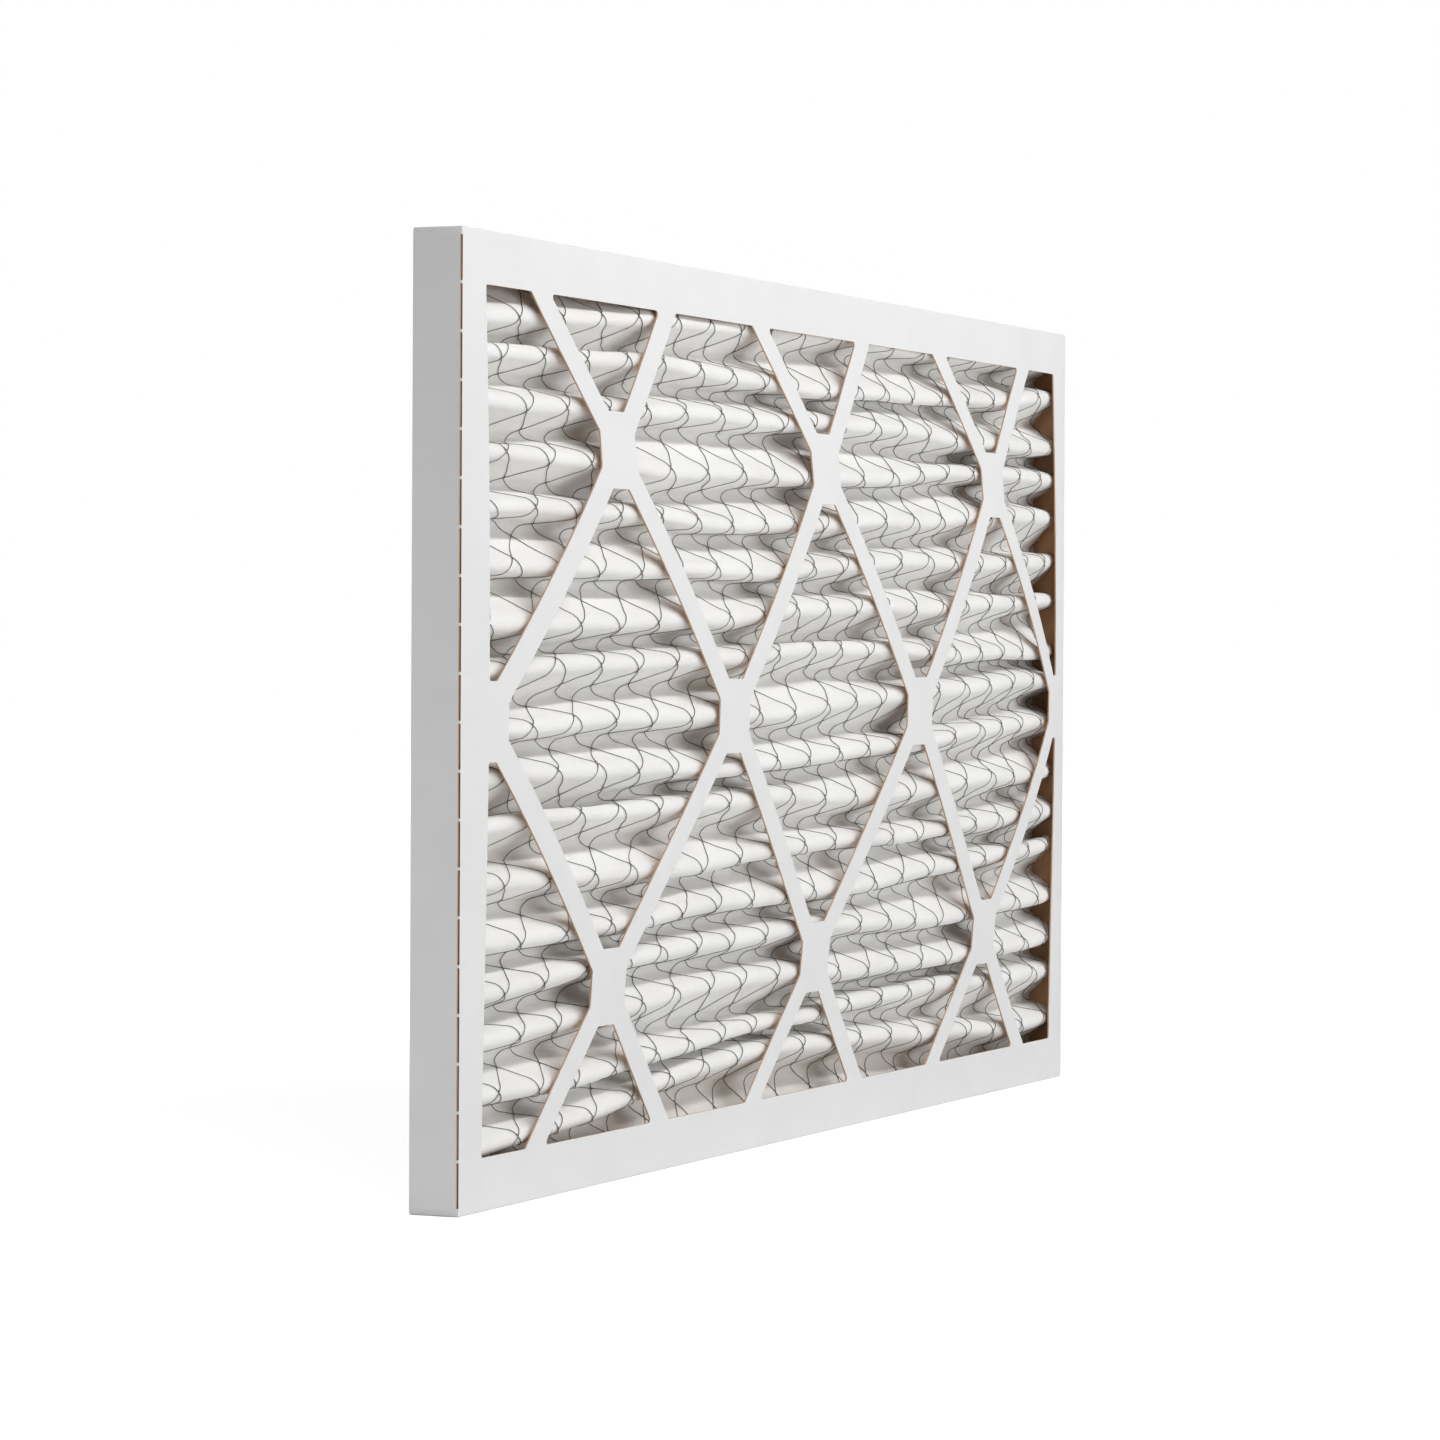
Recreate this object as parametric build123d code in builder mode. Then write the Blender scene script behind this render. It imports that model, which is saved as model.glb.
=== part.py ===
"""Pleated panel air filter, nominal 14 x 25 x 1 inch, standing on a long edge.

Two shallow paperboard trays nest into a frame. Each tray is one die-cut blank: its face carries a
diamond lattice and its four walls are folded back. Between the faces lies a pleated media pack, a
zigzag sheet backed by a thin expanded-metal sheet. The pack has pushed the front lattice out into
a shallow dome, highest a little above the middle.

X runs along the pleats, Y from the front face to the rear face, Z up. The origin is the middle of
the bottom edge. Millimetres.
"""

from build123d import *

import math
import os

# Frame, outside
width = 622.3
height = 342.9
depth = 19.05
board = 0.7

# Lattice of both faces
side_flange = 17.8
end_flange = 19.0
arm_width = 10.7
node_size = 28.4
node_spacing = 196.7
node_columns = 4
opening_radius = 1.2

# Dome of the front face and of the pack behind it
bow = 12.2
bow_side_power = 4.0
bow_rise_power = 1.25
bow_edge_power = 1.1

# Perforated folds at the two short edges of the front face
slit_count = 20
slit_length = 15.9
slit_pitch = 16.9
slit_into_wall = 0.4
slit_into_face = 0.8

# Pleated pack: media sheet and the expanded metal on its front
pleat_count = 19
media = 1.5
mesh = 0.5
mesh_strand = 2.4
mesh_border = 4.0
mesh_columns = 4
mesh_rows = 6

# Clearances
nest_gap = 0.2
pack_gap = 0.3
mesh_gap = 0.1

# Places that follow from the sizes
front_y = -depth / 2
rear_y = depth / 2
middle_z = height / 2
rear_tray_inset = board + nest_gap
pack_inset = rear_tray_inset + board + pack_gap
pack_width = width - 2 * pack_inset
pack_height = height - 2 * pack_inset
pack_depth = depth - 2 * (board + pack_gap)
fold_rise = pack_height / (pleat_count - 1) / 2

# How finely the curved shapes are sampled
surface_steps = 12
pack_sections = 7


def bow_at(x, z):
    """Forward bulge of the front face and the pack: flat-topped along X, an arch along Z."""
    across = min(abs(x) / (width / 2), 1)
    rise = min(max(z / height, 0), 1)
    arch = math.sin(math.pi * rise**bow_rise_power) ** bow_edge_power
    return bow * (1 - across**bow_side_power) * arch


def bowed_surface():
    """The outer surface of the front face, a spline surface through the dome."""
    steps = range(surface_steps + 1)
    points = []
    for row in steps:
        z = height * row / surface_steps
        across = [width * (step / surface_steps - 0.5) for step in steps]
        points.append([(x, front_y - bow_at(x, z), z) for x in across])
    return Face.make_surface_from_array_of_points(points)


def face_plane(y):
    """A plane at y, seen from the front: sketches run X across and Z up."""
    return Plane(origin=(0, y, 0), x_dir=(1, 0, 0), z_dir=(0, -1, 0))


def lattice_openings(y):
    """What is cut from a face: its field, less the diagonal arms and the square nodes."""
    with BuildSketch(face_plane(y)) as openings:
        with Locations((0, middle_z)):
            Rectangle(width - 2 * side_flange, height - 2 * end_flange)
            with GridLocations(node_spacing, node_spacing, node_columns, 1):
                for slope in (45, -45):
                    Rectangle(2 * width, arm_width, rotation=slope, mode=Mode.SUBTRACT)
                Rectangle(node_size, node_size, mode=Mode.SUBTRACT)
            with GridLocations(node_spacing, node_spacing, node_columns - 1, 2):
                Rectangle(node_size, node_size, mode=Mode.SUBTRACT)
        fillet(openings.vertices(), opening_radius)
    return openings.sketch


def tray_walls(inset):
    """Section of the four folded walls of a tray, on the rear plane of the frame."""
    with BuildSketch(face_plane(rear_y)) as walls:
        with Locations((0, middle_z)):
            Rectangle(width - 2 * inset, height - 2 * inset)
            inner = inset + board
            Rectangle(width - 2 * inner, height - 2 * inner, mode=Mode.SUBTRACT)
    return walls.sketch


def fold_reach():
    """How far a sharp zigzag of no thickness reaches along Y.

    A sheet of thickness t on a slope fills t * slope length / fold_rise along Y, and the zigzag
    and its sheets together fill pack_depth, which is a quadratic equation for the reach.
    """
    steepness = (fold_rise / (media + mesh_gap + mesh)) ** 2
    half_sum = steepness * pack_depth
    product = steepness * pack_depth**2 - fold_rise**2
    return (half_sum - math.sqrt(half_sum**2 - (steepness - 1) * product)) / (steepness - 1)


fold_depth = fold_reach()
along_y = math.hypot(fold_rise, fold_depth) / fold_rise


def fold_line(x, behind):
    """The zigzag at x, a distance behind the front of the pack, as (y, z) points.

    Front folds and rear folds alternate, from a front fold at the bottom to one at the top. A
    parallel zigzag lies a thickness behind when it is moved back by thickness * along_y.
    """
    line = []
    for fold in range(2 * pleat_count - 1):
        z = pack_inset + fold * fold_rise
        y = front_y + board + pack_gap + fold_depth * (fold % 2) + behind * along_y
        line.append((y - bow_at(x, z), z))
    return line


def pleat_section(x, front, back):
    """Section at x of a folded sheet between two distances behind the front of the pack."""
    with BuildSketch(Plane.YZ.offset(x)) as section:
        with BuildLine():
            Polyline(*fold_line(x, front), *reversed(fold_line(x, back)), close=True)
        make_face()
    return section.sketch


def pleat_sections(front, back):
    """Sections from one end of the pack to the other, closer together near the ends."""
    turns = [math.pi * step / (pack_sections - 1) for step in range(pack_sections)]
    return [pleat_section(-pack_width / 2 * math.cos(turn), front, back) for turn in turns]


def mesh_openings():
    """Diamond gaps of the expanded metal, in rows that are staggered by half a gap."""
    pitch_x = pack_width / mesh_columns
    pitch_z = pack_height / mesh_rows
    slant = math.hypot(pitch_x, pitch_z)
    half_x = (pitch_x - mesh_strand * slant / pitch_z) / 2
    half_z = (pitch_z - mesh_strand * slant / pitch_x) / 2
    corners = ((-half_x, 0), (0, -half_z), (half_x, 0), (0, half_z))
    with BuildSketch(face_plane(front_y)) as gaps:
        with Locations((0, middle_z)):
            with GridLocations(pitch_x, pitch_z, mesh_columns + 1, mesh_rows + 1):
                Polygon(*corners)
            with GridLocations(pitch_x, pitch_z, mesh_columns, mesh_rows):
                Polygon(*corners)
            inner_width = pack_width - 2 * mesh_border
            inner_height = pack_height - 2 * mesh_border
            Rectangle(inner_width, inner_height, mode=Mode.INTERSECT)
    return gaps.sketch


os.makedirs("parts", exist_ok=True)

# Front tray: the bowed lattice face, four walls and the perforated folds
with BuildPart() as front_frame:
    extrude(bowed_surface(), amount=board, dir=(0, 1, 0))
    extrude(tray_walls(0), amount=depth - board / 2)
    extrude(lattice_openings(front_y), amount=bow + board, both=True, mode=Mode.SUBTRACT)
    slit_heights = [middle_z + slit_pitch * (i - (slit_count - 1) / 2) for i in range(slit_count)]
    with Locations(*[(side * width / 2, front_y, z) for side in (-1, 1) for z in slit_heights]):
        Box(2 * slit_into_wall, 2 * slit_into_face, slit_length, mode=Mode.SUBTRACT)
front_frame.part.label = "front_frame"
export_step(front_frame.part, "parts/front_frame.step")

# Rear tray: the flat lattice face and four walls that nest inside the front tray's
with BuildPart() as rear_frame:
    with BuildSketch(face_plane(rear_y)):
        with Locations((0, middle_z)):
            Rectangle(width - 2 * rear_tray_inset, height - 2 * rear_tray_inset)
    extrude(amount=board)
    extrude(tray_walls(rear_tray_inset), amount=depth - board - nest_gap)
    extrude(lattice_openings(rear_y), amount=board, mode=Mode.SUBTRACT)
rear_frame.part.label = "rear_frame"
export_step(rear_frame.part, "parts/rear_frame.step")

# Media: one sheet folded into pleats, following the dome
with BuildPart() as pleated_media:
    loft(pleat_sections(mesh + mesh_gap, mesh + mesh_gap + media))
pleated_media.part.label = "pleated_media"
export_step(pleated_media.part, "parts/pleated_media.step")

# Expanded metal: a thin sheet on the front of every pleat, opened into a diamond net
with BuildPart() as wire_backing:
    loft(pleat_sections(0, mesh))
    extrude(mesh_openings(), amount=bow + depth, both=True, mode=Mode.SUBTRACT)
wire_backing.part.label = "wire_backing"
export_step(wire_backing.part, "parts/wire_backing.step")
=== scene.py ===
"""Dresses the pleated panel air filter: board trays, pleated media and expanded metal.

Metres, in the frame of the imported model. The pack and the boards are surfaces worked out from a
few sizes, so every shape below is a formula of a place across the filter and a place along it.
"""

import math

import bpy
import numpy as np
from mathutils import Matrix, Vector, geometry


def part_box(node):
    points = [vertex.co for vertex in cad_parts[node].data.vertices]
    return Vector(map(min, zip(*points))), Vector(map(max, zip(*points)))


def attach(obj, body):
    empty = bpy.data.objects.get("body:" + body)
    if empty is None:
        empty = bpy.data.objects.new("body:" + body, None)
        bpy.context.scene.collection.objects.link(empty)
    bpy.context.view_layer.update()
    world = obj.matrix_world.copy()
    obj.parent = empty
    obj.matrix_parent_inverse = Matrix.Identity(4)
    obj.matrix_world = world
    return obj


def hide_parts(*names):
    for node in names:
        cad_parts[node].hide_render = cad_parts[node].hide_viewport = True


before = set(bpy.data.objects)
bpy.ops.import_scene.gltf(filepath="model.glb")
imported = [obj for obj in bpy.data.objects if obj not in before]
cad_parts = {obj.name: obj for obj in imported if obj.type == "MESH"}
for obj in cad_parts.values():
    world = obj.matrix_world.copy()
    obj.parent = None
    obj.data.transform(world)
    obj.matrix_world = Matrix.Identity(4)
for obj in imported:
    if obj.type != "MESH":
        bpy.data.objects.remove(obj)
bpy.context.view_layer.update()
MM = 0.001

# Sizes read from the frame
tray_low, tray_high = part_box("front_frame")
width = tray_high.x - tray_low.x
height = tray_high.z
rear_y = tray_high.y
front_y = -rear_y
pack_low, pack_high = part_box("pleated_media")
pack_half = pack_high.x
nested_low, nested_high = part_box("rear_frame")

# Boards
board = 0.7 * MM
side_flange = 17.8 * MM
end_flange = 19.0 * MM
arm_width = 10.7 * MM
node_size = 28.4 * MM
node_spacing = 196.7 * MM
opening_radius = 1.2 * MM
fold_radius = 0.55 * MM
corner_radius = 1.3 * MM
skin_inset = 1.1 * MM
coat = 0.1 * MM
fibre_skin = 0.02 * MM
edge_step = 4.0 * MM
dome_starts = 1.0 * MM

# Perforated folds
slit_count = 20
slit_length = 15.9 * MM
slit_pitch = 16.9 * MM
slit_into_wall = 0.4 * MM
slit_into_face = 0.8 * MM
slit_undercut = 1.0 * MM

# Dome of the front
bow = 12.2 * MM
bow_side_power = 4.0
bow_rise_power = 1.25
bow_edge_power = 1.1

# Pack
pleat_count = 19
media = 1.4 * MM
fold_bend = 2.8 * MM
pack_gap = 0.35 * MM
strand = 0.34 * MM
strand_lift = 0.22 * MM
strand_sides = 3
strand_share = 28
mesh_long_way = 32.5 * MM
mesh_short_way = 25.4 * MM

rng = np.random.default_rng(1425)


# ---------------------------------------------------------------- shapes shared by the pieces


def bow_at(x, z):
    """Forward bulge: flat-topped along X, one minus a power of x, times a skewed sine arch in z."""
    across = np.clip(np.abs(x) / (width / 2), 0, 1)
    rise = np.clip(z / height, 0, 1)
    arch = np.sin(np.pi * rise**bow_rise_power) ** bow_edge_power
    return bow * (1 - across**bow_side_power) * arch


def wave_set(rows, waves, longest, shortest):
    """Wavenumbers and phases for soft noise, a fresh set of phases for every row."""
    lengths = np.geomspace(longest, shortest, waves)
    phases = rng.uniform(0, 2 * np.pi, (rows, waves))
    weights = (lengths / lengths[0]) ** 0.8
    return 2 * np.pi / lengths, phases, weights / np.sqrt((weights**2).sum() / 2)


def soft_noise(waves, x, row):
    """Sum of sines along x with the phases of a row, about one in size."""
    numbers, phases, weights = waves
    return (weights * np.sin(x[..., None] * numbers + phases[row])).sum(-1)


def grid_faces(count_a, count_b, start=0, closed_b=False):
    """Quads of a grid of points numbered a * count_b + b, the last b joined to the first if closed."""
    a = np.arange(count_a - 1)[:, None]
    b = np.arange(count_b if closed_b else count_b - 1)[None, :]
    after = (b + 1) % count_b
    here, there = a * count_b, (a + 1) * count_b
    quads = np.stack([here + b, here + after, there + after, there + b], -1)
    return quads.reshape(-1, 4) + start


def make_piece(name, points, face_groups, materials, sharp_angle, node):
    """A mesh from points and groups of (faces, material number), riding on the root body."""
    faces = [tuple(face) for group, _ in face_groups for face in np.asarray(group).tolist()]
    numbers = np.concatenate([np.full(len(group), number) for group, number in face_groups])
    mesh = bpy.data.meshes.new(name)
    mesh.from_pydata(np.asarray(points).reshape(-1, 3).tolist(), [], faces)
    for material in materials:
        mesh.materials.append(material)
    mesh.polygons.foreach_set("material_index", numbers.astype(np.int32))
    mesh.polygons.foreach_set("use_smooth", np.ones(len(faces), dtype=bool))
    mesh.update()
    mesh.set_sharp_from_angle(angle=sharp_angle)
    piece = bpy.data.objects.new(name, mesh)
    bpy.context.scene.collection.objects.link(piece)
    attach(piece, "root")
    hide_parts(node)
    return piece


# ---------------------------------------------------------------- board trays


def clip_corners(corners, normal, limit):
    """The part of a convex outline on the near side of a line, where normal . p is under limit."""
    kept = []
    for here, there in zip(corners, corners[1:] + corners[:1]):
        over_here = here @ normal - limit
        over_there = there @ normal - limit
        if over_here <= 0:
            kept.append(here)
        if over_here * over_there < 0:
            kept.append(here + (there - here) * over_here / (over_here - over_there))
    return kept


def opening_corners(centre):
    """Corners of one opening: a diamond between arms, cut by the nodes and by the flanges."""
    square = np.array([(-1, -1), (1, -1), (1, 1), (-1, 1)]) * width
    corners = [centre + corner for corner in square]
    between_arms = (node_spacing - arm_width * math.sqrt(2)) / 2 / math.sqrt(2)
    between_nodes = (node_spacing - node_size) / 2
    for turn in range(8):
        angle = turn * math.pi / 4
        normal = np.array([math.cos(angle), math.sin(angle)])
        reach = between_arms if turn % 2 else between_nodes
        corners = clip_corners(corners, normal, centre @ normal + reach)
    field = ((1, 0, width / 2 - side_flange), (-1, 0, width / 2 - side_flange))
    field += ((0, 1, height - end_flange), (0, -1, -end_flange))
    for across, up, limit in field:
        corners = clip_corners(corners, np.array([across, up]), limit)
    return corners


def lattice_openings():
    """Corners of all openings, from a grid of diamond centres that runs past the field."""
    found = []
    for row in range(-2, 3):
        for column in range(-4, 5):
            if (row + column) % 2 == 0:
                place = np.array([column, row]) * node_spacing / 2
                corners = opening_corners(place + (0, height / 2))
                if len(corners) > 2:
                    found.append(corners)
    return found


def rounded_outline(corners, radius):
    """Points round a convex outline: straight runs in short steps and a tangent arc at each corner."""
    points = []
    for before, corner, after in zip(corners[-1:] + corners[:-1], corners, corners[1:] + corners[:1]):
        inward = (before - corner) / np.linalg.norm(before - corner)
        onward = (after - corner) / np.linalg.norm(after - corner)
        half = math.acos(np.clip(inward @ onward, -1, 1)) / 2
        middle = corner + (inward + onward) / np.linalg.norm(inward + onward) * radius / math.sin(half)
        swing = np.linspace(-1, 1, 6)[:, None] * (math.pi / 2 - half)
        spoke = (corner - middle) / np.linalg.norm(corner - middle)
        side = np.array([-spoke[1], spoke[0]])
        points.append(middle + radius * (np.cos(swing) * spoke + np.sin(swing) * side))
    outline = []
    for arc, following in zip(points, points[1:] + points[:1]):
        run = following[0] - arc[-1]
        steps = max(2, math.ceil(np.linalg.norm(run) / edge_step))
        outline += [arc, arc[-1] + run * (np.arange(1, steps) / steps)[:, None]]
    return np.concatenate(outline)


def slit_mask(z):
    """One inside a perforation of the fold and zero at the nicks between them."""
    from_first = z - height / 2 + slit_pitch * slit_count / 2
    along = from_first % slit_pitch - slit_pitch / 2
    on_fold = (from_first > 0) & (from_first < slit_pitch * slit_count)
    return ((np.abs(along) < slit_length / 2) & on_fold).astype(float)


def side_places():
    """Heights along a perforated side: a pair of points close together at both ends of every slit."""
    centres = height / 2 + slit_pitch * (np.arange(slit_count) - (slit_count - 1) / 2)
    ends = (centres[:, None] + np.array([-1, 1]) * slit_length / 2).ravel()
    near = 0.05 * MM
    middles = (centres[:, None] + np.linspace(-0.4, 0.4, 4) * slit_length).ravel()
    return np.sort(np.concatenate([ends - near, ends + near, middles]))


def rim_path(inset, perforated):
    """Places round the tray's outer wall, counter-clockwise, and the direction outward at each."""
    corner_x = width / 2 - inset - corner_radius
    low = inset + corner_radius
    high = height - inset - corner_radius
    long_places, short_places = 150, 80
    across = np.linspace(-corner_x, corner_x, long_places)
    up = side_places() if perforated else np.linspace(low, high, short_places)
    turn = np.linspace(0, math.pi / 2, 5)[1:-1]
    sides = (
        (-math.pi / 2, across, np.full(long_places, low), (corner_x, low)),
        (0, np.full(len(up), corner_x), up, (corner_x, high)),
        (math.pi / 2, -across, np.full(long_places, high), (-corner_x, high)),
        (math.pi, np.full(len(up), -corner_x), up[::-1], (-corner_x, low)),
    )
    places, outward = [], []
    for start, x, z, corner in sides:
        straight_out = np.array([math.cos(start), math.sin(start)])
        spokes = np.stack([np.cos(start + turn), np.sin(start + turn)], -1)
        places += [np.stack([x, z], -1) + corner_radius * straight_out, corner + corner_radius * spokes]
        outward += [np.tile(straight_out, (len(x), 1)), spokes]
    return np.concatenate(places), np.concatenate(outward)


def tray(name, node, inset, dome, wall_end, facing, perforated):
    """One folded tray.

    The rim is a profile carried round the rectangle: face edge, fold, outer wall, raw rear edge,
    inner wall and the back of the face. At a perforation the fold is an undercut slit with painted
    shade inside: a dark brown board colour stands in for the shadow in the cut.
    inside. The two skins fill the rim less the openings, and a strip of board thickness closes
    each opening. Facing -1 turns the tray to the rear.
    """
    places, outward = rim_path(inset, perforated)
    slit = np.zeros(len(places))
    if perforated:
        on_straight_side = np.abs(outward[:, 0]) > 0.99
        slit = slit_mask(places[:, 1]) * on_straight_side
    arc = np.linspace(0, math.pi / 2, 5)
    chamfer = board * 0.15
    softened = wall_end - board * 0.1
    inner_bend = board * 1.3
    # distance inward from the outer wall, and distance behind the face
    inward = [skin_inset, *(fold_radius * (1 - np.sin(arc))), 0]
    inward += [chamfer, board * 0.85, board, board, inner_bend, skin_inset]
    behind = [0, *(fold_radius * (1 - np.cos(arc))), softened, wall_end, wall_end, softened]
    behind += [inner_bend, board, board]
    cut_in = [skin_inset, slit_into_wall, slit_undercut, slit_undercut, slit_into_wall * 0.9, 0]
    cut_in += inward[6:]
    cut_behind = [0, *(slit_into_face * np.array([0, 0.1, 0.6, 0.65, 1])), *behind[6:]]
    profile = np.array([inward, behind]).T
    cut = np.array([cut_in, cut_behind]).T
    ring = profile[None] * (1 - slit[:, None, None]) + cut[None] * slit[:, None, None]
    xz = places[:, None, :] - outward[:, None, :] * ring[..., :1]
    forward = dome * bow_at(xz[..., 0], xz[..., 1]) * (ring[..., 0] > dome_starts)
    y = front_y + ring[..., 1] - forward
    rim = np.stack([xz[..., 0], y, xz[..., 1]], -1)
    count, steps = rim.shape[:2]
    rim_points = rim.reshape(-1, 3)
    around = np.arange(count)
    quads = []
    for step in range(steps - 1):
        here = around * steps + step
        there = np.roll(around, -1) * steps + step
        quads.append(np.stack([here, here + 1, there + 1, there], -1))
    slit_pair = (slit > 0) & (np.roll(slit, -1) > 0)
    first_cut, last_shaded, last_cut, wall_edge = 1, 3, 4, 6
    # strips one to three inside a slit get painted shade, a dark brown board colour standing in for the
    # shadow in the cut
    white, raw, shaded = [], [], []
    for step, strip in enumerate(quads):
        if step >= wall_edge:
            raw.append(strip)
        elif first_cut <= step <= last_cut:
            (shaded if step <= last_shaded else raw).append(strip[slit_pair])
            white.append(strip[~slit_pair])
        else:
            white.append(strip)

    loops = [rim[:, 0][:, [0, 2]]]
    loops += [rounded_outline(corners, opening_radius) for corners in lattice_openings()]
    sizes = [len(loop) for loop in loops]
    starts = np.concatenate([[0], np.cumsum(sizes)[:-1]])
    flat = np.concatenate(loops)
    edges = []
    for start, size in zip(starts, sizes):
        edges += [(start + i, start + (i + 1) % size) for i in range(size)]
    filled = geometry.delaunay_2d_cdt([Vector(p) for p in flat], edges, [], 0, 1e-7)
    triangles = np.array(filled[2])
    corners = flat[triangles]
    middles = corners.mean(1)
    inside = np.ones(len(middles), dtype=bool)
    for opening in lattice_openings():
        outline = np.array(opening)
        ahead = np.roll(outline, -1, 0) - outline
        reach = middles[:, None] - outline[None]
        turned = ahead[None, :, 0] * reach[..., 1] - ahead[None, :, 1] * reach[..., 0]
        inside &= ~(turned > 0).all(1)
    edge_a = corners[:, 1] - corners[:, 0]
    edge_b = corners[:, 2] - corners[:, 0]
    turned = edge_a[:, 0] * edge_b[:, 1] - edge_a[:, 1] * edge_b[:, 0]
    triangles = np.where((turned > 0)[:, None], triangles, triangles[:, ::-1])[inside]

    levels = np.array([0, coat, board - fibre_skin, board])
    start = len(rim_points)
    x, z = flat[sizes[0]:].T
    lattice = [np.stack([x, front_y + level - dome * bow_at(x, z), z], -1) for level in levels]
    per_level = len(flat) - sizes[0]
    rim_front = around * steps
    rim_back = around * steps + steps - 1
    front_of = np.concatenate([rim_front, start + np.arange(per_level)])
    last_level = start + (len(levels) - 1) * per_level
    back_of = np.concatenate([rim_back, last_level + np.arange(per_level)])
    white.append(front_of[triangles])
    raw.append(back_of[triangles[:, ::-1]])
    for loop_start, size in zip(starts[1:] - sizes[0], sizes[1:]):
        here = start + loop_start + np.arange(size)
        there = start + loop_start + np.roll(np.arange(size), -1)
        strip = np.stack([here, there, there + per_level, here + per_level], -1)
        for level in range(len(levels) - 1):
            (white if level == 0 else raw).append(strip + level * per_level)

    points = np.concatenate([rim_points, *lattice])
    points[:, 1] *= facing
    groups = []
    for number, strips in enumerate((white, raw, shaded)):
        groups += [(strip[:, ::facing], number) for strip in strips if len(strip)]
    finishes = [coated_board, kraft_board, painted_slit_shade]
    return make_piece(name, points, groups, finishes, math.radians(40), node)


# ---------------------------------------------------------------- pleated pack

fold_count = 2 * pleat_count - 1
pack_bottom = pack_low.z
pack_top = pack_high.z
fold_rise = (pack_top - pack_bottom) / (fold_count - 1)
front_fold_y = front_y + board + pack_gap + strand_lift + strand / 2 + media / 2
rear_fold_y = rear_y - board - pack_gap - media / 2

# Slope at which two arcs and a straight run span one fold, closed in on by repetition
slope = math.pi / 3
for _ in range(30):
    vertex_depth = rear_fold_y - front_fold_y + 2 * fold_bend * (1 / math.cos(slope) - 1)
    slope = math.atan2(vertex_depth, fold_rise)
bend_length = fold_bend * slope
straight = fold_rise / math.cos(slope) - 2 * fold_bend * math.tan(slope)
half_length = straight + 2 * bend_length
sheet_length = half_length * (fold_count - 1)

fold_drift = wave_set(fold_count, 4, 900 * MM, 110 * MM)
fold_recess = wave_set(fold_count, 4, 300 * MM, 70 * MM)
slope_dent = wave_set(fold_count, 6, 120 * MM, 16 * MM)


def fold_shift(x, z, fold):
    """How far a fold lies above its even place.

    It slants up to the right, less so near the top, crowds low in the middle and has a soft wander
    of its own, and all of it fades to nothing at the first and the last fold.
    """
    near_top = np.exp(-(((height - z) / (45 * MM)) ** 2))
    low_middle = np.exp(-(((x + 60 * MM) / (200 * MM)) ** 2) - (z / (45 * MM)) ** 1.4)
    slant = (3.8 + 5.6 * x / (width / 2)) * MM
    slant = slant - 4.0 * MM * near_top
    crowding = 15 * MM * low_middle
    wander = 1.9 * MM * soft_noise(fold_drift, x, fold)
    from_end = np.minimum(z - pack_bottom, pack_top - z) / (7 * MM)
    return (slant + crowding + wander) * (1 - np.exp(-(np.clip(from_end, 0, None) ** 2)))


def fold_depth(x, fold):
    """How far a fold draws back from its board: up to 1.5 millimetres, and 1.9 more at the ends."""
    drawn = (0.55 + 0.45 * np.tanh(soft_noise(fold_recess, x, fold))) * 1.5 * MM
    from_end = (pack_half - np.abs(x)) / (9 * MM)
    drawn = drawn + 1.9 * MM * np.exp(-(np.clip(from_end, 0, None) ** 2))
    rear_share = 0.6
    return np.where(fold % 2 == 0, drawn, -drawn * rear_share)


def media_middle(x, along):
    """Middle of the media at a place across and a length along the developed sheet.

    Between two folds the line is an arc, a straight slope and an arc. Each fold is moved by its
    own shift and depth, shared along the slope, and the whole is moved forward by the dome.
    """
    place = np.clip(along / half_length, 0, fold_count - 1 - 1e-9)
    fold = np.floor(place).astype(int)
    run = (place - fold) * half_length
    first = np.clip(run, 0, bend_length) / fold_bend
    middle = np.clip(run - bend_length, 0, straight)
    last = np.clip(run - bend_length - straight, 0, bend_length) / fold_bend
    rise = fold_bend * np.sin(first) + middle * math.cos(slope)
    rise += fold_bend * (math.sin(slope) - np.sin(slope - last))
    depth = fold_bend * (1 - np.cos(first)) + middle * math.sin(slope)
    depth += fold_bend * (np.cos(slope - last) - math.cos(slope))
    at_front = fold % 2 == 0
    y = np.where(at_front, front_fold_y + depth, rear_fold_y - depth)
    z = pack_bottom + fold * fold_rise + rise
    share = place - fold
    share = share * share * (3 - 2 * share)
    for end, weight in ((fold, 1 - share), (fold + 1, share)):
        z = z + weight * fold_shift(x, pack_bottom + end * fold_rise, end)
        y = y + weight * fold_depth(x, end)
    dent = 0.6 * MM * soft_noise(slope_dent, x, fold) * np.sin(np.pi * (place - fold)) ** 2
    y = y + dent
    return np.stack(np.broadcast_arrays(x, y - bow_at(x, z), z), -1)


def media_normal(x, along):
    """Direction out of the front side of the media, from short steps across and along it."""
    step = 0.3 * MM
    across = media_middle(x + step, along) - media_middle(x - step, along)
    upward = media_middle(x, along + step) - media_middle(x, along - step)
    normal = np.cross(across, upward)
    return normal / np.linalg.norm(normal, axis=-1, keepdims=True)


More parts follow.
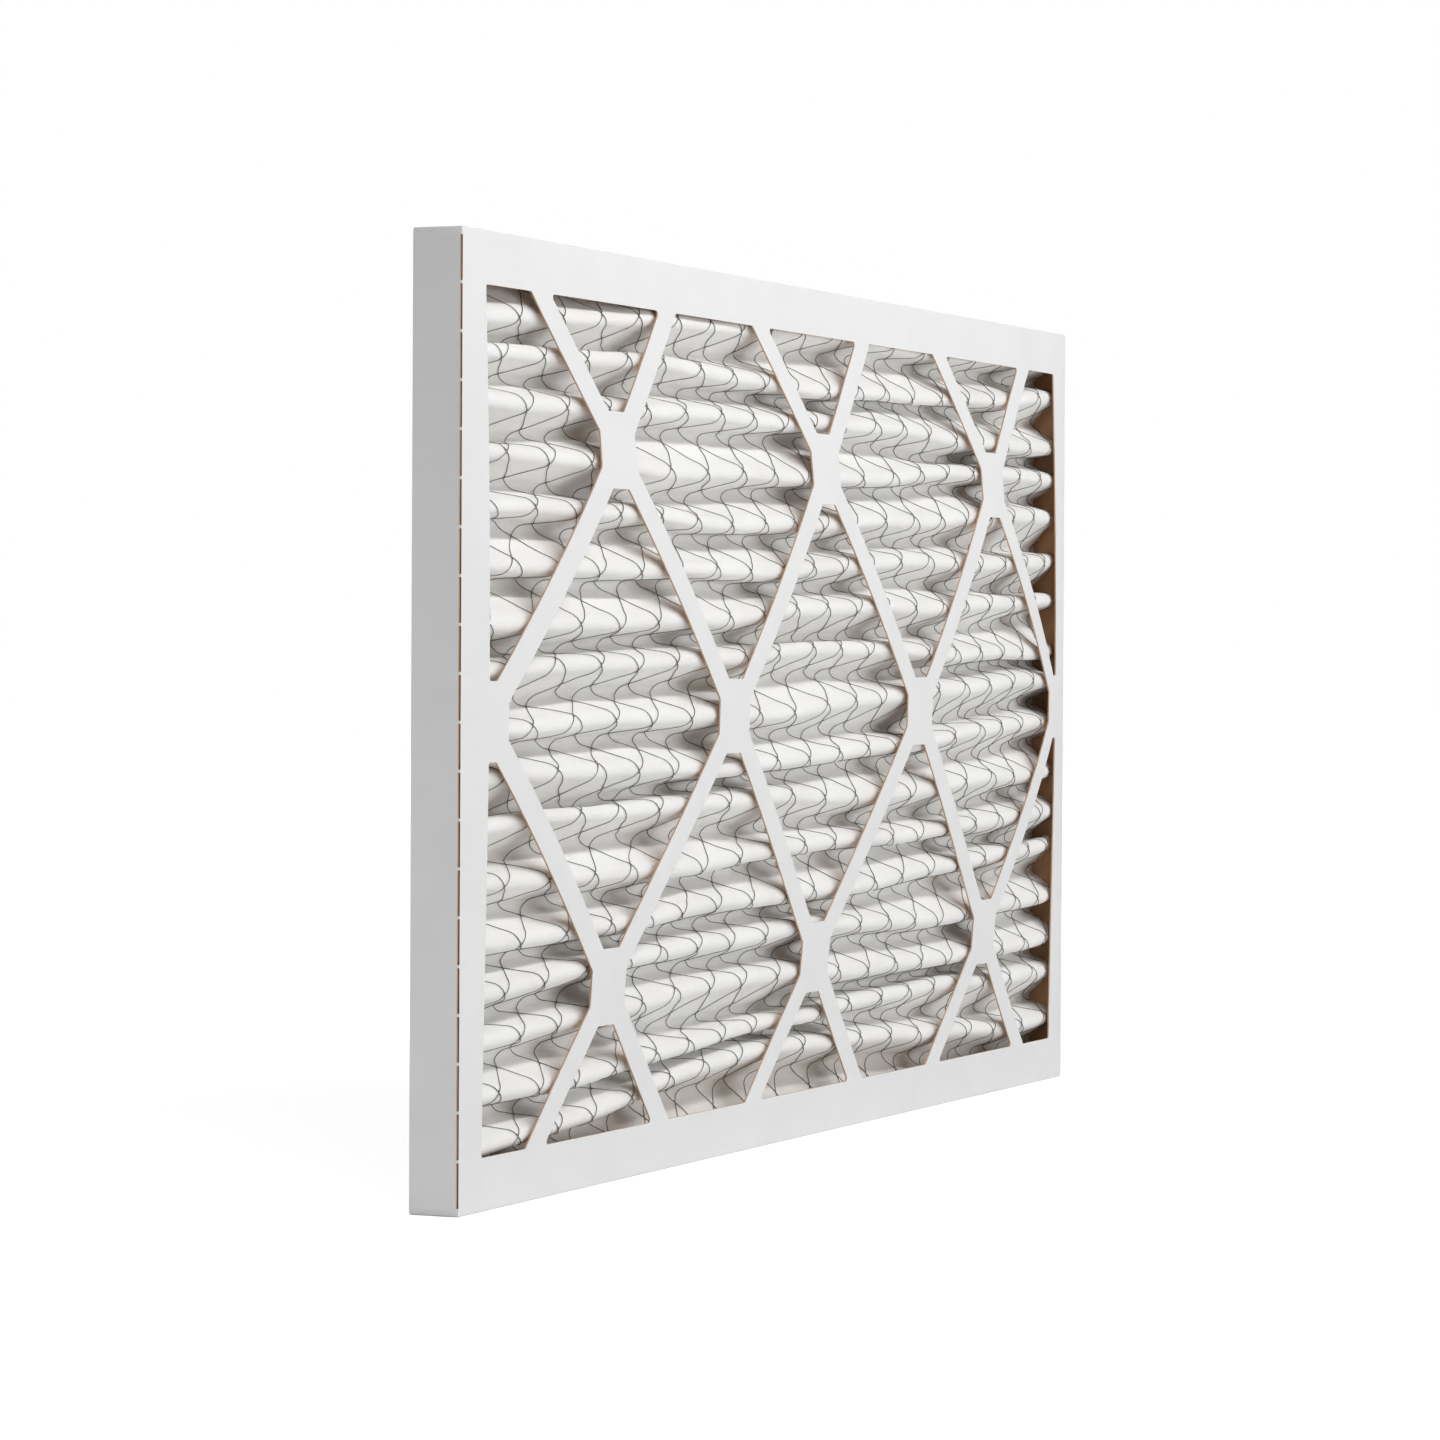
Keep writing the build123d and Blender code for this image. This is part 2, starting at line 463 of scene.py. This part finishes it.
def pleated_sheet():
    """The media: a grid across and along, one skin each side of the middle, closed at all edges."""
    per_slope = np.concatenate([
        np.linspace(0, bend_length, 3)[:-1],
        bend_length + np.linspace(0, straight, 5)[:-1],
        bend_length + straight + np.linspace(0, bend_length, 3)[:-1],
    ])
    along = (np.arange(fold_count - 1)[:, None] * half_length + per_slope).ravel()
    along = np.append(along, sheet_length)
    side_margin, end_margin, columns_across = 0.3 * MM, 0.4 * MM, 168
    across = np.linspace(-pack_half + side_margin, pack_half - side_margin, columns_across)
    s, x = np.meshgrid(along, across, indexing="ij")
    middle = media_middle(x, s)
    normal = media_normal(x, np.clip(s, end_margin, sheet_length - end_margin))
    skins = np.stack([middle + normal * media / 2, middle - normal * media / 2])
    rows, columns = s.shape
    total = rows * columns
    front = grid_faces(rows, columns)
    back = grid_faces(rows, columns, total)[:, ::-1]
    number = np.arange(total).reshape(rows, columns)
    border = np.concatenate([number[0], number[1:, -1], number[-1, -2::-1], number[-2:0:-1, 0]])
    following = np.roll(border, -1)
    rim = np.stack([border, border + total, following + total, following], -1)
    groups = [(front, 0), (back, 0), (rim, 0)]
    piece = make_piece("pleated_media_sheet", skins, groups, [filter_media], math.radians(75),
                       "pleated_media")
    uv = piece.data.uv_layers.new(name="sheet")
    spots = np.empty(len(piece.data.loops), dtype=np.int32)
    piece.data.loops.foreach_get("vertex_index", spots)
    flat_places = np.stack([np.tile(x.ravel(), 2), np.tile(s.ravel(), 2)], -1)
    uv.data.foreach_set("uv", flat_places[spots].ravel())
    return piece


mesh_sway = wave_set(2, 3, 260 * MM, 110 * MM)
mesh_drift = wave_set(2, 3, 210 * MM, 80 * MM)


def expanded_metal():
    """The net: every strand swings between two rows, side by side with its neighbour at each bond.

    Along X a strand's place is a triangle wave with rounded peaks, the arcsine of a slightly
    shrunken cosine. The strand is a three-sided wire laid on the front skin of the media, and it
    swells at each peak, where it is bonded to the next one.
    """
    row_pitch = mesh_short_way / 2
    rows = int(sheet_length / row_pitch)
    samples = int((2 * pack_half - 2 * MM) / mesh_long_way * strand_share) + 1
    x = ((np.arange(samples) - samples // 2) * mesh_long_way / strand_share)[None, :]
    row = np.arange(rows)[:, None]
    phase = np.pi * (2 * x / mesh_long_way + row)
    shrunken = 0.998
    swing = np.arcsin(shrunken * np.cos(phase)) / np.arcsin(shrunken)
    along = (row + 0.5) * row_pitch + swing * (row_pitch / 2 - strand * 0.35)
    swelling = 0.92 + 2.0 * swing[..., None, None] ** 16
    side_limit = pack_half - 0.6 * MM
    end_margin = 1.0 * MM
    moved_x = x + 1.6 * MM * soft_noise(mesh_sway, along, 0)
    moved_x = moved_x + 1.2 * MM * soft_noise(mesh_sway, x * 1.3 + along * 0.5, 1)
    moved_x = np.clip(moved_x, -side_limit, side_limit)
    moved = along + 1.3 * MM * soft_noise(mesh_drift, x + along * 0.4, 0)
    moved = np.clip(moved, end_margin, sheet_length - end_margin)
    normal = media_normal(moved_x, moved)
    line = media_middle(moved_x, moved) + normal * (media / 2 + strand_lift)
    heading = np.gradient(line, axis=1)
    heading /= np.linalg.norm(heading, axis=-1, keepdims=True)
    side = np.cross(heading, normal)
    side /= np.linalg.norm(side, axis=-1, keepdims=True)
    corners = math.radians(-30) + np.arange(strand_sides) * math.radians(360 / strand_sides)
    sideways = (np.cos(corners) * strand * 0.56)[:, None] * swelling
    outward = (np.sin(corners) * strand * 0.5)[:, None]
    ring = line[:, :, None] + side[:, :, None] * sideways
    ring = ring + normal[:, :, None] * outward
    per_strand = samples * strand_sides
    tube = grid_faces(samples, strand_sides, closed_b=True)
    groups = [(tube + number * per_strand, 0) for number in range(rows)]
    ends = np.arange(rows)[:, None] * per_strand
    groups.append((ends + np.arange(strand_sides)[::-1], 0))
    groups.append((ends + (samples - 1) * strand_sides + np.arange(strand_sides), 0))
    return make_piece("expanded_metal_net", ring, groups, [expanded_steel], math.radians(80),
                      "wire_backing")


# ---------------------------------------------------------------- finishes


def new_group(name, inputs, outputs):
    """A shader node group with named sockets and its two end nodes."""
    group = bpy.data.node_groups.new(name, "ShaderNodeTree")
    for label, kind, value in inputs:
        socket = group.interface.new_socket(name=label, in_out="INPUT", socket_type=kind)
        socket.default_value = value
    for label, kind in outputs:
        group.interface.new_socket(name=label, in_out="OUTPUT", socket_type=kind)
    return group, group.nodes.new("NodeGroupInput"), group.nodes.new("NodeGroupOutput")


def fibre_group():
    """Matted fibres: a fine noise as a height, and one with much longer waves as a mottle."""
    inputs = [("Place", "NodeSocketVector", (0, 0, 0))]
    inputs += [("Scale", "NodeSocketFloat", 900.0), ("Stretch", "NodeSocketFloat", 1.0)]
    outputs = [("Mottle", "NodeSocketFloat"), ("Height", "NodeSocketFloat")]
    group, given, result = new_group("matted_fibres", inputs, outputs)
    nodes, links = group.nodes, group.links
    squash = nodes.new("ShaderNodeCombineXYZ")
    squash.inputs["Y"].default_value = 1.0
    squash.inputs["Z"].default_value = 1.0
    stretched = nodes.new("ShaderNodeVectorMath")
    stretched.operation = "MULTIPLY"
    links.new(given.outputs["Stretch"], squash.inputs["X"])
    links.new(given.outputs["Place"], stretched.inputs[0])
    links.new(squash.outputs[0], stretched.inputs[1])
    fine = nodes.new("ShaderNodeTexNoise")
    fine.inputs["Detail"].default_value = 4.0
    fine.inputs["Distortion"].default_value = 0.6
    broad = nodes.new("ShaderNodeTexNoise")
    broad.inputs["Detail"].default_value = 3.0
    coarser = nodes.new("ShaderNodeMath")
    coarser.operation = "MULTIPLY"
    coarser.inputs[1].default_value = 0.06
    links.new(given.outputs["Scale"], fine.inputs["Scale"])
    links.new(given.outputs["Scale"], coarser.inputs[0])
    links.new(coarser.outputs[0], broad.inputs["Scale"])
    links.new(stretched.outputs[0], fine.inputs["Vector"])
    links.new(stretched.outputs[0], broad.inputs["Vector"])
    links.new(fine.outputs["Fac"], result.inputs["Height"])
    links.new(broad.outputs["Fac"], result.inputs["Mottle"])
    return group


def new_material(name, roughness, specular=0.3, metallic=0.0):
    """A material with its shader's plain numbers set, and its nodes, links and shader."""
    material = bpy.data.materials.new(name)
    material.use_nodes = True
    shader = material.node_tree.nodes["Principled BSDF"]
    shader.inputs["Roughness"].default_value = roughness
    shader.inputs["Specular IOR Level"].default_value = specular
    shader.inputs["Metallic"].default_value = metallic
    return material, material.node_tree.nodes, material.node_tree.links, shader


def fibre_finish(parts, place, scale, stretch, tones_between, bump_distance, bump_strength):
    """Colours a shader with a mottle between two tones and gives it a bump from the fibres."""
    _, nodes, links, shader = parts
    dark, light = tones_between
    fibres = nodes.new("ShaderNodeGroup")
    fibres.node_tree = fibre_nodes
    fibres.inputs["Scale"].default_value = scale
    fibres.inputs["Stretch"].default_value = stretch
    links.new(place, fibres.inputs["Place"])
    tones = nodes.new("ShaderNodeValToRGB")
    tones.color_ramp.elements[0].position = 0.3
    tones.color_ramp.elements[1].position = 0.7
    tones.color_ramp.elements[0].color = (*dark, 1)
    tones.color_ramp.elements[1].color = (*light, 1)
    links.new(fibres.outputs["Mottle"], tones.inputs["Fac"])
    bump = nodes.new("ShaderNodeBump")
    bump.inputs["Distance"].default_value = bump_distance
    bump.inputs["Strength"].default_value = bump_strength
    links.new(fibres.outputs["Height"], bump.inputs["Height"])
    links.new(bump.outputs["Normal"], shader.inputs["Normal"])
    links.new(tones.outputs["Color"], shader.inputs["Base Color"])


def make_coated_board():
    """Clay-coated board: an even cool white, faintly mottled, with a satin face."""
    parts = new_material("coated_board", 0.55)
    place = parts[1].new("ShaderNodeTexCoord").outputs["Object"]
    whites = (0.775, 0.776, 0.778), (0.80, 0.801, 0.803)
    fibre_finish(parts, place, 700.0, 1.0, whites, 0.05 * MM, 0.25)
    return parts[0]


def make_kraft_board(name, dark, light):
    """Kraft-brown matted fibres between a dark and a light tone: bare kraft board, or, in dark tones,
    the painted shade inside the slits.
    """
    parts = new_material(name, 0.85, 0.15)
    place = parts[1].new("ShaderNodeTexCoord").outputs["Object"]
    fibre_finish(parts, place, 1400.0, 0.4, (dark, light), 0.08 * MM, 0.5)
    return parts[0]


def make_filter_media():
    """Nonwoven media: white matted fibres with a soft sheen, in the sheet's own coordinates."""
    parts = new_material("filter_media", 0.9, 0.1)
    material, nodes, _, shader = parts
    shader.inputs["Sheen Weight"].default_value = 0.25
    shader.inputs["Sheen Roughness"].default_value = 0.6
    place = nodes.new("ShaderNodeUVMap")
    place.uv_map = "sheet"
    whites = (0.84, 0.83, 0.81), (0.90, 0.895, 0.88)
    fibre_finish(parts, place.outputs["UV"], 1100.0, 0.35, whites, 0.3 * MM, 0.5)
    return material


def make_expanded_steel():
    """Galvanised strands: dull grey metal, uneven along each strand."""
    parts = new_material("expanded_steel", 0.5, 0.4, 0.6)
    place = parts[1].new("ShaderNodeTexCoord").outputs["Object"]
    greys = (0.12, 0.112, 0.105), (0.19, 0.18, 0.17)
    fibre_finish(parts, place, 500.0, 1.0, greys, 0.05 * MM, 0.4)
    return parts[0]


fibre_nodes = fibre_group()
coated_board = make_coated_board()
kraft_board = make_kraft_board("kraft_board", (0.56, 0.33, 0.18), (0.68, 0.42, 0.25))
# painted shade: a dark brown board colour for the shadow inside the perforation slits
painted_slit_shade = make_kraft_board("painted_slit_shade", (0.16, 0.09, 0.05), (0.26, 0.15, 0.09))
filter_media = make_filter_media()
expanded_steel = make_expanded_steel()

# ---------------------------------------------------------------- pieces

nest_inset = (width - (nested_high.x - nested_low.x)) / 2
tray("front_tray", "front_frame", 0.0, 1.0, 2 * rear_y, 1, True)
tray("rear_tray", "rear_frame", nest_inset, 0.0, rear_y - nested_low.y, -1, False)
sheet = pleated_sheet()
expanded_metal()

# ---------------------------------------------------------------- stage, light and camera


def make_floor():
    """A white floor that the camera sees fade into the white background away from the filter."""
    size = 6.0
    mesh = bpy.data.meshes.new("floor")
    drop = -0.02 * MM
    corners = [(-size, -size, drop), (size, -size, drop), (size, size, drop), (-size, size, drop)]
    mesh.from_pydata(corners, [], [(0, 1, 2, 3)])
    material, nodes, links, shader = new_material("floor_white", 0.9, 0.0)
    shader.inputs["Base Color"].default_value = (0.86, 0.86, 0.86, 1)
    place = nodes.new("ShaderNodeTexCoord")
    away = nodes.new("ShaderNodeVectorMath")
    away.operation = "LENGTH"
    fade = nodes.new("ShaderNodeMapRange")
    fade.interpolation_type = "SMOOTHSTEP"
    fade.inputs["From Min"].default_value = 0.3
    fade.inputs["From Max"].default_value = 1.1
    fade.inputs["To Min"].default_value = 0.65
    fade.inputs["To Max"].default_value = 1.0
    path = nodes.new("ShaderNodeLightPath")
    seen = nodes.new("ShaderNodeMath")
    seen.operation = "MULTIPLY"
    glow = nodes.new("ShaderNodeEmission")
    glow.inputs["Color"].default_value = (1, 1, 1, 1)
    added = nodes.new("ShaderNodeAddShader")
    links.new(place.outputs["Object"], away.inputs[0])
    links.new(away.outputs["Value"], fade.inputs["Value"])
    links.new(fade.outputs["Result"], seen.inputs[0])
    links.new(path.outputs["Is Camera Ray"], seen.inputs[1])
    links.new(seen.outputs[0], glow.inputs["Strength"])
    links.new(shader.outputs[0], added.inputs[0])
    links.new(glow.outputs[0], added.inputs[1])
    links.new(added.outputs[0], nodes["Material Output"].inputs["Surface"])
    mesh.materials.append(material)
    floor = bpy.data.objects.new("floor", mesh)
    bpy.context.scene.collection.objects.link(floor)


def make_world(ambient):
    """Even soft light from all round, and plain white where the camera sees it."""
    world = bpy.data.worlds.new("studio")
    bpy.context.scene.world = world
    world.use_nodes = True
    nodes, links = world.node_tree.nodes, world.node_tree.links
    background = nodes["Background"]
    background.inputs["Color"].default_value = (1, 1, 1, 1)
    path = nodes.new("ShaderNodeLightPath")
    strength = nodes.new("ShaderNodeMapRange")
    strength.inputs["To Min"].default_value = ambient
    strength.inputs["To Max"].default_value = 1.0
    seen = path.outputs["Is Camera Ray"]
    for ray in ("Is Glossy Ray", "Is Transmission Ray"):
        either = nodes.new("ShaderNodeMath")
        either.operation = "MAXIMUM"
        links.new(seen, either.inputs[0])
        links.new(path.outputs[ray], either.inputs[1])
        seen = either.outputs[0]
    links.new(seen, strength.inputs["Value"])
    links.new(strength.outputs["Result"], background.inputs["Strength"])


def make_softbox(name, place, target, across, tall, power):
    """A rectangular area lamp turned towards a point, its long side level."""
    data = bpy.data.lights.new(name, "AREA")
    data.shape = "RECTANGLE"
    data.size = across
    data.size_y = tall
    data.energy = power
    lamp = bpy.data.objects.new(name, data)
    lamp.location = place
    lamp.rotation_mode = "QUATERNION"
    lamp.rotation_quaternion = (Vector(target) - Vector(place)).to_track_quat("-Z", "Y")
    bpy.context.scene.collection.objects.link(lamp)


def make_camera():
    """A long lens to the left of the filter, level with the upper half of it."""
    azimuth, elevation, roll = (math.radians(angle) for angle in (66.46, -0.86, 0.31))
    heading = Vector((math.sin(azimuth), math.cos(azimuth), 0))
    forward = heading * math.cos(elevation) + Vector((0, 0, math.sin(elevation)))
    level = Vector((math.cos(azimuth), -math.sin(azimuth), 0))
    raised = level.cross(forward)
    right = math.cos(roll) * level + math.sin(roll) * raised
    up = -math.sin(roll) * level + math.cos(roll) * raised
    data = bpy.data.cameras.new("camera")
    data.lens = 121.75
    data.sensor_width = 36.0
    data.clip_start = 0.05
    data.clip_end = 50.0
    camera = bpy.data.objects.new("camera", data)
    turn = Matrix((right, up, -forward)).transposed()
    camera.rotation_mode = "QUATERNION"
    camera.rotation_quaternion = turn.to_quaternion()
    left_of_face, before_face, above_floor = 1506 * MM, 754 * MM, 198 * MM
    camera.location = (-left_of_face - width / 2, front_y - before_face, above_floor)
    bpy.context.scene.collection.objects.link(camera)
    bpy.context.scene.camera = camera


make_floor()
make_world(ambient=0.2)
centre = (0, 0, height / 2)
low_on_left_wall = (-width / 2, 0, 0.05)
make_softbox("key_softbox", (-0.1, -0.8, 1.08), centre, across=2.6, tall=0.13, power=13.0)
make_softbox("front_fill", (0.0, -1.7, 0.2), centre, across=2.4, tall=0.7, power=10.2)
make_softbox("back_fill", (0.45, 1.8, 0.9), centre, across=1.0, tall=0.7, power=11.0)
make_softbox("side_fill", (-0.6, 0.3, 0.05), low_on_left_wall, across=0.3, tall=0.06, power=0.33)
make_camera()
bpy.context.scene.view_settings.view_transform = "Standard"
